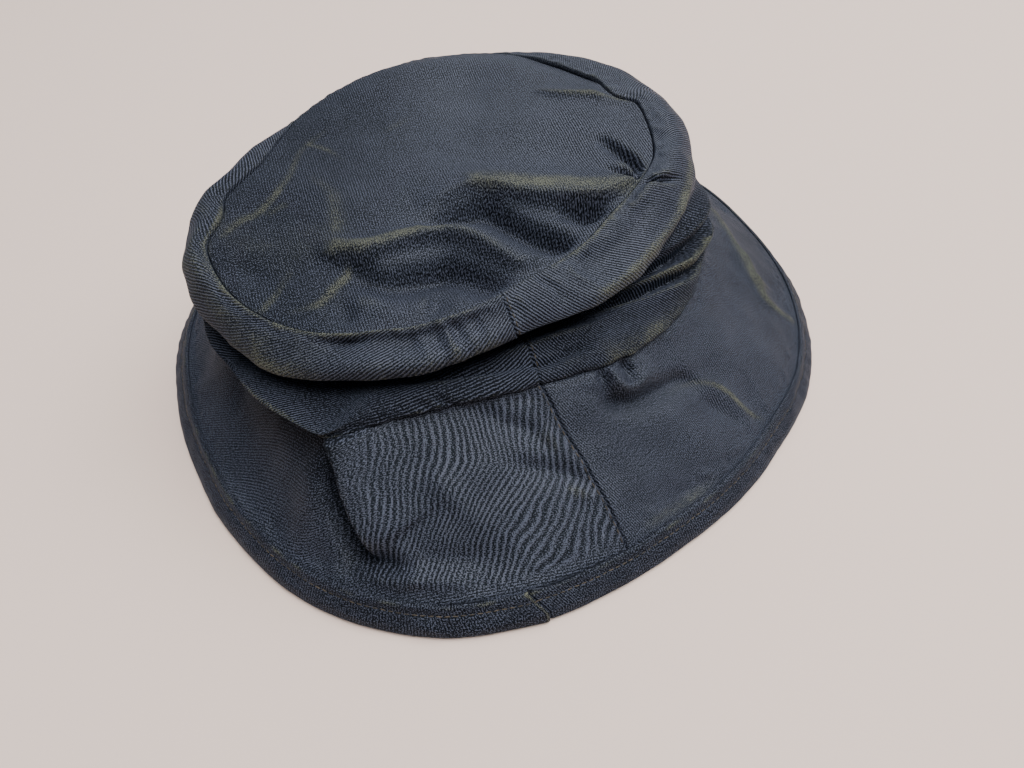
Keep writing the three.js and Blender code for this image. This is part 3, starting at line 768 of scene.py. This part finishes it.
# Folds of the tip: width before and behind, then points (right of the hub, behind it, height)
tipFolds = [
    stroke(3, 14, (-22, -27, 0), (-12, -23, 3), (-4, -19, 4), (4, -18, 4.5), (14, -21, 5), (26, -25, 5.5),
           (40, -26, 5.5), (52, -25, 5), (62, -20, 3), (70, -17, 1)),
    stroke(7, 3.2, (-20, -35, -1), (-12, -33, -4.5), (-3, -29, -7), (5, -27, -8), (13, -32, -8),
           (22, -38, -8.5), (31, -43, -8), (38, -47, -5), (43, -47, -1)),
    stroke(3.5, 3, (36, -31, -3), (42, -32, -6), (50, -32, -5), (55, -32, -1)),
    stroke(3, 7, (-56, -52, 0), (-48, -51, 3), (-41, -52, 4.5), (-33, -50, 4.5), (-25, -46, 5),
           (-17, -43, 5.5), (-8, -42, 5.5), (0, -45, 5.5), (8, -50, 5), (17, -56, 3.5), (26, -59, 1.5)),
    stroke(9, 4, (-44, -56, -3), (-38, -59, -5.5), (-30, -61, -7), (-20, -58, -8.5), (-10, -55, -9),
           (-2, -57, -8), (6, -62, -6), (14, -66, -2)),
    stroke(2.5, 6, (-13, -62, 0), (-11, -68, -3), (-12, -75, -3), (-15, -80, -1)),
    stroke(6, 7, (-38, -62, 0), (-33, -70, 2), (-27, -77, 1)),
    stroke(4, 4, (-46, -66, 0), (-43, -73, -2.5), (-41, -80, -2.5)),
    stroke(3.4, 1.6, (48, 8, -0.5), (53, 6, -3), (60, -1, -5), (66, -11, -6.5), (68.5, -15, -6)),
    stroke(2.4, 1.5, (51, -9, -0.5), (56, -11, -3), (62, -13, -4.5), (68.5, -16, -5)),
    stroke(2, 2.4, (56, -4, 0), (61, -8, 1.4), (65, -12.5, 0.4)),
    stroke(1.8, 7, (23, 42, 0), (29, 38, 1.5), (36, 35, 2.2), (48, 33, 2.6), (60, 31, 2.6), (68, 30, 1),
           sharp=1.5),
    stroke(5, 5, (-66, -62, -0.5), (-60, -58, -1.4), (-54, -52, -1.2), (-48, -47, 0)),
    stroke(4, 5, (-84, -56, 0), (-77, -60, -1.6), (-70, -66, -1)),
    stroke(12, 12, (4, 50, 0), (-14, 28, -0.9), (-34, 4, -1.2), (-56, -22, -0.8)),
]
# Olive streaks of the tip: widths, then points (right of the hub, behind it, strength)
tipStreaks = [
    stroke(1.4, 2.2, (-89, -43, 0.3), (-85, -36, 0.5), (-80, -32, 0.6), (-77, -27, 0.6), (-74, -21, 0.6),
           (-71, -10, 0.5), (-70, 4, 0.5), (-66, 12, 0.4), (-60, 19, 0.2)),
    stroke(1.4, 2, (-75, -31, 0.4), (-70, -27, 0.5)),
    stroke(1.3, 1.8, (-67, 9, 0.4), (-60, 6, 0.5), (-51, -1, 0.2)),
    stroke(2.4, 3.4, (-62, -12, 0.2), (-54, -21, 0.35), (-49, -40, 0.3)),
    stroke(1.6, 2.6, (-37, 18, 0.3), (-32, 23, 0.45), (-26, 28, 0.1)),
    stroke(1.4, 2.2, (-69, -76, 0.5), (-66, -69, 0.6), (-63, -59, 0.3)),
    stroke(1.6, 2, (-61, -77, 0.2), (-55, -75, 0.4), (-50, -72, 0.7), (-46, -64, 0.8), (-43, -57, 0.6)),
    stroke(2.2, 3.4, (-48, -50, 0.4), (-41, -50, 0.9), (-32, -48, 1), (-25, -44, 1), (-15, -40, 1),
           (-6, -38, 0.8), (3, -35, 0.3)),
    stroke(3.5, 5, (2, -17, 0.5), (14, -19, 0.8), (26, -21, 1), (40, -22, 1), (56, -21, 1),
           (66, -17, 0.5)),
    stroke(1.2, 1.8, (23, 42, 0.2), (36, 35, 0.6), (48, 33, 0.7), (60, 31, 0.7), (68, 30, 0.3)),
    stroke(12, 16, (-80, -45, 0.25), (-66, -48, 0.3), (-52, -40, 0.25), (-40, -22, 0.1)),
]


def makeTip():
    plain = stations(tip["columns"], 0, [])
    outerShare = np.linspace(0, 1, tip["rows"] - tip["turned"]) ** 0.85
    seamR = bandCurve["seamR"](plain) + seamCurve["outward"](plain) - tip["inset"]
    seamZ = bandCurve["seamZ"](plain) + seamCurve["up"](plain)
    middle = np.mean([bandCurve["seamZ"](np.array(at)) for at in (0.0, 90.0, 180.0, 270.0)]) + tip["rise"]
    radius = seamR[:, None] * outerShare
    gap = sum(deep * bell(plain - at, wide, 4) for at, wide, deep in tip["gaps"])[:, None]
    height = middle + (seamZ[:, None] - middle) * outerShare - tip["level"]
    height = height - gap * smooth((outerShare - 0.9) / 0.1)
    a = np.radians(plain)[:, None]
    u, v = radius * np.cos(a), radius * np.sin(a)
    lift, lean = strokesOver(u, v, tipFolds, lambda x, y: (x, y))
    fadeWide = 0.1 - 0.07 * bell(plain - tip["starAt"], 6)  # the star of puckers reaches the seam
    fade = smooth((1 - outerShare)[None, :] / fadeWide[:, None])
    here = np.stack([u, v, height], -1)
    back = bell(plain - tip["domeAt"], tip["domeWide"], 4)[:, None]
    dome = tip["domeHigh"] * back * bell(outerShare[None, :] - 0.88, 0.13)
    height = height + (lift + crumples(here, tip["swell"])) * fade + dome
    turned = np.arange(1, tip["turned"] + 1) / tip["turned"]
    endR = radius[:, -1:] + 0.5 * np.sin(turned * 1.57)[None, :]
    endZ = height[:, -1:] - 3.2 * turned[None, :] ** 2
    radius = np.concatenate([radius, endR], 1)
    height = np.concatenate([height, endZ], 1)
    grid = np.stack([hub[0] + radius * np.cos(a), hub[1] + radius * np.sin(a), height], -1)
    normal = directions(grid)[0]
    normal[:, 0] = (0, 0, 1)
    rubs, _ = strokesOver(grid[..., 0] - hub[0], grid[..., 1] - hub[1], tipStreaks, lambda x, y: (x, y))
    worn = np.clip(tip["wornShare"] * wearOf(grid, normal) + rubs, 0, 1)
    flat = grid[..., :2] - hub
    clothMap = turnedMap(flat[..., 0], flat[..., 1], tip["ribs"])
    clothMap = np.concatenate([clothMap, clothMap[:1]])
    inner = innerSkin(grid, cloth["wall"], tip["innerRows"], tip["innerSmoothing"])
    inner[:, 0] = grid[:, 0] - [0, 0, cloth["wall"]]
    grain = tip["grain"] + tip["grainRight"] * smooth((grid[..., 0] - hub[0] - 10) / 40)
    # Painted shade: darker towards the left, away from the light, and a little over the whole tip
    paintedShade = tip["shadeLeft"] * smooth((hub[0] - 10 - grid[..., 0]) / 55) + tip["shadeAll"]
    marks = {"worn": worn, "grain": grain, "stripes": 0.0, "paintedShade": paintedShade}
    return wallPiece("crown_tip_cloth", grid, inner, clothMap, marks, True)


# Rows of stitches: points along sewn lines carry the way of the thread and the cloth's outward side
stitch = {"spacing": 2.7, "length": 2.1, "width": 0.42, "height": 0.36, "tilt": 0.12, "seed": 7, "raise": 0.1}
seamStitch = {**stitch, "spacing": 2.9, "width": 0.45, "height": 0.35}
# Seams sewn with it: the piece, how far beside the seam, and the first and last row
sewnSeams = [("brim", -2.0, 4, 68), ("band", 1.6, 6, 34), ("band", 1.6, 60, 98)]


# Points at even spacing along a line on a grid, with unit steps along the line and out of the cloth
def stitchLine(line, out, spacing, closed):
    if closed:
        line, out = np.concatenate([line, line[:1]]), np.concatenate([out, out[:1]])
    length = np.concatenate([[0], np.cumsum(np.linalg.norm(np.diff(line, axis=0), axis=1))])
    count = int(length[-1] / spacing)
    places = (np.arange(count) + 0.5) * length[-1] / count

    def along3(values, at):
        return np.stack([np.interp(at, length, values[:, i]) for i in range(3)], -1)

    spots = along3(line, places)
    up = along3(out, places)
    up /= np.linalg.norm(up, axis=1, keepdims=True)
    along = along3(line, places + 0.4) - along3(line, places - 0.4)
    along -= up * (along * up).sum(-1, keepdims=True)
    along /= np.linalg.norm(along, axis=1, keepdims=True)
    return np.stack([spots, along, up], 1)


# The node tree that lays one thread on every point
def stitchTree(name):
    tree = bpy.data.node_groups.new(name, "GeometryNodeTree")
    face = tree.interface
    face.new_socket("Geometry", in_out="INPUT", socket_type="NodeSocketGeometry")
    for label in ("Length", "Width", "Height", "Tilt"):
        face.new_socket(label, in_out="INPUT", socket_type="NodeSocketFloat")
    face.new_socket("Seed", in_out="INPUT", socket_type="NodeSocketInt")
    face.new_socket("Material", in_out="INPUT", socket_type="NodeSocketMaterial")
    face.new_socket("Geometry", in_out="OUTPUT", socket_type="NodeSocketGeometry")

    def node(kind, settings=None, sockets=None):
        made = tree.nodes.new(kind)
        for key, value in (settings or {}).items():
            setattr(made, key, value)
        for key, value in (sockets or {}).items():
            if isinstance(value, bpy.types.NodeSocket):
                tree.links.new(value, made.inputs[key])
            else:
                made.inputs[key].default_value = value
        return made

    inputs = node("NodeGroupInput").outputs
    ball = node("GeometryNodeMeshIcoSphere", None, {"Radius": 0.5, "Subdivisions": 2})
    sizes = node("ShaderNodeCombineXYZ", None, {0: inputs["Length"], 1: inputs["Width"], 2: inputs["Height"]})
    thread = node("GeometryNodeTransform", None, {"Geometry": ball.outputs[0], "Scale": sizes.outputs[0]})
    along = node("GeometryNodeInputNamedAttribute", {"data_type": "FLOAT_VECTOR"}, {"Name": "along"})
    out = node("GeometryNodeInputNamedAttribute", {"data_type": "FLOAT_VECTOR"}, {"Name": "out"})
    first = node("FunctionNodeAlignRotationToVector", {"axis": "X"}, {"Vector": along.outputs[0]})
    second = node("FunctionNodeAlignRotationToVector", {"axis": "Z", "pivot_axis": "X"}, {
        "Rotation": first.outputs[0], "Vector": out.outputs[0]})
    low = node("ShaderNodeMath", {"operation": "MULTIPLY"}, {0: inputs["Tilt"], 1: -1.0})
    lean = node("FunctionNodeRandomValue", {"data_type": "FLOAT"}, {
        "Min": low.outputs[0], "Max": inputs["Tilt"], "Seed": inputs["Seed"]})
    leanSocket = next(s for s in lean.outputs if s.enabled)
    turn = node("ShaderNodeCombineXYZ", None, {2: leanSocket})
    turned = node("FunctionNodeRotateRotation", {"rotation_space": "LOCAL"}, {
        "Rotation": second.outputs[0], "Rotate By": turn.outputs[0]})
    laid = node("GeometryNodeInstanceOnPoints", None, {
        "Points": inputs["Geometry"], "Instance": thread.outputs[0], "Rotation": turned.outputs[0]})
    real = node("GeometryNodeRealizeInstances", None, {"Geometry": laid.outputs[0]})
    smoothed = node("GeometryNodeSetShadeSmooth", None, {"Geometry": real.outputs[0]})
    finished = node("GeometryNodeSetMaterial", None, {
        "Geometry": smoothed.outputs[0], "Material": inputs["Material"]})
    node("NodeGroupOutput", None, {0: finished.outputs[0]})
    return tree


def makeStitches(name, lines, finish, settings):
    spots = np.concatenate(lines)
    mesh = bpy.data.meshes.new(name)
    mesh.vertices.add(len(spots))
    mesh.vertices.foreach_set("co", ((spots[:, 0] + spots[:, 2] * settings["raise"]) * millimetre).ravel())
    for key, column in (("along", 1), ("out", 2)):
        mesh.attributes.new(key, "FLOAT_VECTOR", "POINT").data.foreach_set("vector", spots[:, column].ravel())
    maker = bpy.data.objects.new(name + ".points", mesh)
    bpy.context.scene.collection.objects.link(maker)
    tree = stitchTree(name)
    modifier = maker.modifiers.new("stitches", "NODES")
    modifier.node_group = tree
    values = {
        "Length": settings["length"] * millimetre, "Width": settings["width"] * millimetre,
        "Height": settings["height"] * millimetre, "Tilt": settings["tilt"], "Seed": settings["seed"],
        "Material": finish,
    }
    for item in tree.interface.items_tree:
        if item.in_out == "INPUT" and item.name in values:
            modifier[item.identifier] = values[item.name]
    bpy.context.view_layer.update()
    evaluated = maker.evaluated_get(bpy.context.evaluated_depsgraph_get())
    plainMesh = bpy.data.meshes.new_from_object(evaluated)
    plainMesh.name = name
    maker.modifiers.remove(modifier)
    bpy.data.objects.remove(maker)
    bpy.data.node_groups.remove(tree)
    piece = bpy.data.objects.new(name, plainMesh)
    bpy.context.scene.collection.objects.link(piece)
    return piece


# Line on a grid a given distance to one side of its first column, over a range of rows
def besideSeam(grid, away, start, end):
    normal = directions(grid)[0]
    line, out = [], []
    for j in range(start, end):
        besides = grid[:60, j] if away > 0 else grid[:-60:-1, j]
        reach = np.concatenate([[0], np.cumsum(np.linalg.norm(np.diff(besides, axis=0), axis=-1))])
        column = int(np.argmin(np.abs(reach - abs(away))))
        column = column if away > 0 else -1 - column
        line.append(grid[column, j])
        out.append(normal[column, j])
    return np.array(line), np.array(out)


def bindingLine():
    grid, slope = sewn["binding"], sewn["bindingSlope"]
    first, last = binding["topRows"]
    row = first + int(np.argmin(np.abs(slope[0, first:last] - binding["stitchIn"])))
    return grid[:, row], outOfRing(grid)[:, row]


def allStitches(finish):
    line, out = bindingLine()
    yield makeStitches("binding_stitches", [stitchLine(line, out, stitch["spacing"], True)], finish, stitch)
    lines = []
    for piece, away, start, end in sewnSeams:
        lines.append(stitchLine(*besideSeam(sewn[piece], away, start, end), seamStitch["spacing"], False))
    yield makeStitches("seam_stitches", lines, finish, seamStitch)


# Materials: a small class wraps a socket, so that shader maths reads as plain expressions
class Wire:
    def __init__(self, finish, socket):
        self.finish = finish
        self.socket = socket

    def maths(self, operation, *values):
        made = self.finish.node("ShaderNodeMath", {"operation": operation}, dict(enumerate(values)))
        return Wire(self.finish, made.outputs[0])

    def __add__(self, other):
        return self.maths("ADD", self, other)

    def __sub__(self, other):
        return self.maths("SUBTRACT", self, other)

    def __mul__(self, other):
        return self.maths("MULTIPLY", self, other)

    def __radd__(self, other):
        return self.maths("ADD", other, self)

    def __rsub__(self, other):
        return self.maths("SUBTRACT", other, self)

    def __rmul__(self, other):
        return self.maths("MULTIPLY", other, self)

    def power(self, other):
        return self.maths("POWER", self, other)

    def sine(self):
        return self.maths("SINE", self)

    def above(self, other):
        return self.maths("MAXIMUM", self, other)

    def between(self, low, high):
        made = self.finish.node("ShaderNodeMapRange", {"interpolation_type": "SMOOTHSTEP"}, {
            "Value": self, "From Min": low, "From Max": high})
        return Wire(self.finish, made.outputs[0])


class Finish:
    def __init__(self, name):
        self.material = bpy.data.materials.new(name)
        self.material.use_nodes = True
        self.tree = self.material.node_tree
        self.tree.nodes.clear()

    def node(self, kind, settings=None, sockets=None):
        made = self.tree.nodes.new(kind)
        for key, value in (settings or {}).items():
            setattr(made, key, value)
        for key, value in (sockets or {}).items():
            if isinstance(value, Wire):
                self.tree.links.new(value.socket, made.inputs[key])
            elif value is not None:
                made.inputs[key].default_value = value
        return made

    def wire(self, kind, output, settings=None, sockets=None):
        return Wire(self, self.node(kind, settings, sockets).outputs[output])

    def noise(self, scale, detail=2, roughness=0.5, vector=None):
        return self.wire("ShaderNodeTexNoise", 0, None, {
            "Scale": scale, "Detail": detail, "Roughness": roughness, "Vector": vector})

    def mark(self, name):
        return self.wire("ShaderNodeAttribute", "Fac", {"attribute_name": name})

    def parts(self, vector):
        split = self.node("ShaderNodeSeparateXYZ", None, {0: vector})
        return [Wire(self, socket) for socket in split.outputs]

    def blend(self, factor, first, second):
        return self.wire("ShaderNodeMix", 2, {"data_type": "RGBA"}, {0: factor, 6: first, 7: second})

    def shader(self, sockets):
        principled = self.node("ShaderNodeBsdfPrincipled", None, sockets)
        output = self.node("ShaderNodeOutputMaterial")
        self.tree.links.new(principled.outputs[0], output.inputs[0])
        return self.material


waxed = {
    "dark": (0.0012, 0.0015, 0.0026, 1), "pale": (0.06, 0.068, 0.1, 1), "olive": (0.108, 0.112, 0.08, 1),
    "roughness": 0.6, "sheen": 0.04, "sheenTint": (0.5, 0.65, 1.0, 1),
    "specular": 0.19, "gloss": (0.68, 0.82, 1.0, 1), "waxRoughness": 0.48, "wax": 0.22,
    "weave": 2900, "ribs": 1.0, "ribsShare": 1.2, "stripes": 2.5,
    "stripeShare": 1.0, "level": 0.0,
}
# The binding's cloth is darker and has lost more of its wax
waxedEdge = {**waxed, "level": -0.2, "wax": 0.13, "specular": 0.13}


# Waxed cotton: a fine twill seen on the piece's own cloth map, patchy wax, olive where it is rubbed, and
# painted shade where the painted shade mark is set: darker, rougher and less waxed
def waxedCotton(name, settings):
    f = Finish(name)
    spot = f.wire("ShaderNodeTexCoord", "Object")
    u, v, _ = f.parts(f.wire("ShaderNodeUVMap", 0, {"uv_map": "cloth"}))
    x, y, _ = f.parts(spot)
    worn, grain, striped, paintedShade = f.mark("worn"), f.mark("grain"), f.mark("stripes"), f.mark("paintedShade")
    mirrored = (grain * -1).between(0, 1)
    across = u + (v - u) * mirrored
    along = v + (u - v) * mirrored
    patch = f.noise(30, 3, 0.55, spot).between(0.35, 0.65)
    cloud = f.noise(75, 4, 0.6, spot).between(0.38, 0.68)
    wander = f.noise(140, 2, 0.5, spot)
    threads = f.wire("ShaderNodeCombineXYZ", 0, None, {0: across, 1: along * 0.7, 2: 0.0})
    weave = f.noise(settings["weave"], 1, 0.5, threads) - 0.5
    fleck = f.noise(1300, 2, 0.5, spot) - 0.5
    turn = 2 * math.pi / (settings["ribs"] * millimetre)
    ribs = (across * turn + wander * 4).sine() * grain.above(grain * -1) * (patch * 0.6 + 0.5)
    drawn = f.noise(24, 1, 0.4, spot) - 0.5
    above, below = (y + 0.115).above(0), (-0.115 - y).above(0)
    phase = x + above * 0.17 + below * x.between(-0.06, 0.01) * 0.55 + drawn * 0.022
    phase = phase + (f.noise(90, 1, 0.4, spot) - 0.5) * 0.004
    lines = (phase * (2 * math.pi / (settings["stripes"] * millimetre))).sine() * 0.5 + 0.5
    stripes = (lines.power(1.5) * 2 - 0.85) * striped * (cloud * 0.5 + 0.6)
    tone = weave * 10 + fleck * 1.2 + ribs * settings["ribsShare"] + stripes * settings["stripeShare"]
    # Painted shade darkens the tone here; it also roughens the cloth and thins the wax below
    tone = tone + cloud * 0.16 + patch * 0.1 - paintedShade * 0.5 + settings["level"]
    base = f.blend(tone.between(-0.15, 1.15), settings["dark"], settings["pale"])
    rub = (worn * (0.3 + cloud * 0.5 + fleck * 1.8 + weave * 5)).between(0.08, 1.0)
    colour = f.blend(rub * 0.8, base, settings["olive"])
    wax = (weave * 7 + ribs * 0.8 + stripes * 0.7 + patch * 0.2 + 0.3).between(0, 1)
    rough = settings["roughness"] + rub * 0.15 + paintedShade * 0.25
    height = ribs * 0.8 + weave * 2 + stripes * 1.2
    bump = f.wire("ShaderNodeBump", 0, None, {"Strength": 0.9, "Distance": 0.00014, "Height": height})
    coat = wax * (1 - rub * 0.5) * (1 - paintedShade * 0.85) * settings["wax"]
    return f.shader({
        "Base Color": colour, "Roughness": rough, "Normal": bump,
        "Coat Weight": coat, "Coat Roughness": settings["waxRoughness"],
        "Sheen Weight": settings["sheen"], "Sheen Tint": settings["sheenTint"], "Sheen Roughness": 0.45,
        "Specular IOR Level": settings["specular"], "Specular Tint": settings["gloss"],
    })


sewingThread = {"dark": (0.012, 0.010, 0.008, 1), "pale": (0.075, 0.058, 0.038, 1)}


def threadFinish(name, settings):
    f = Finish(name)
    spot = f.wire("ShaderNodeTexCoord", "Object")
    tone = f.noise(160, 3, 0.7, spot).between(0.35, 0.7)
    return f.shader({"Base Color": f.blend(tone, settings["dark"], settings["pale"]), "Roughness": 0.7})


# Pale table, lights and the camera
stage = {
    "floor": (0.7, 0.56, 0.496, 1), "floorWide": 6, "world": (0.75, 0.88, 1.0, 1), "worldPower": 0.1,
    "cameraAt": (0.00725, -0.25665, 0.2274), "cameraDown": 47.503, "lens": 24.61, "sensor": 36,
    "lamps": [
        ("window", (-0.25, 2.1, 1.9), 1.8, 30, (0.97, 0.98, 1.0)),
        ("ceiling", (1.0, 0.45, 2.3), 2.6, 116, (1.0, 0.98, 0.955)),
        ("room", (0.2, -0.7, 2.5), 1.4, 50, (1.0, 0.98, 0.955)),
    ],
}


def makeStage():
    bpy.ops.mesh.primitive_plane_add(size=stage["floorWide"])
    floor = bpy.context.object
    floor.name = "floor"
    floor.data.materials.append(Finish("pale_table").shader({"Base Color": stage["floor"], "Roughness": 0.7}))
    world = bpy.data.worlds.new("studio")
    bpy.context.scene.world = world
    world.use_nodes = True
    background = world.node_tree.nodes["Background"]
    background.inputs["Color"].default_value = stage["world"]
    background.inputs["Strength"].default_value = stage["worldPower"]
    for name, at, size, power, color in stage["lamps"]:
        lamp = bpy.data.lights.new(name, "AREA")
        lamp.size = size
        lamp.energy = power
        lamp.color = color
        light = bpy.data.objects.new(name, lamp)
        light.location = at
        light.rotation_euler = (-light.location).to_track_quat("-Z", "Y").to_euler()
        bpy.context.scene.collection.objects.link(light)
    camera = bpy.data.objects.new("camera", bpy.data.cameras.new("camera"))
    camera.data.lens = stage["lens"]
    camera.data.sensor_width = stage["sensor"]
    camera.location = stage["cameraAt"]
    camera.rotation_euler = (math.radians(90 - stage["cameraDown"]), 0, 0)
    bpy.context.scene.collection.objects.link(camera)
    bpy.context.scene.camera = camera


makeStage()
print("stage, lights and camera made")
waxedCloth = waxedCotton("waxed_cotton", waxed)
edgeCloth = waxedCotton("waxed_binding", waxedEdge)
pieces = [
    (makeTip, "crown_tip", "waxed_cotton", waxedCloth),
    (makeBand, "side_band", "waxed_cotton", waxedCloth),
    (makeBrim, "brim", "waxed_cotton", waxedCloth),
    (makeBinding, "brim_binding", "waxed_binding", edgeCloth),
]
for makePiece, node, slot, finish in pieces:
    piece = makePiece()
    piece.data.materials.append(finish)
    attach(piece, "root")
    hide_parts(node)
    print("made", piece.name, "with", len(piece.data.polygons), "faces")
for piece in allStitches(threadFinish("seam_thread", sewingThread)):
    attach(piece, "root")
    print("made", piece.name, "with", len(piece.data.polygons), "faces")
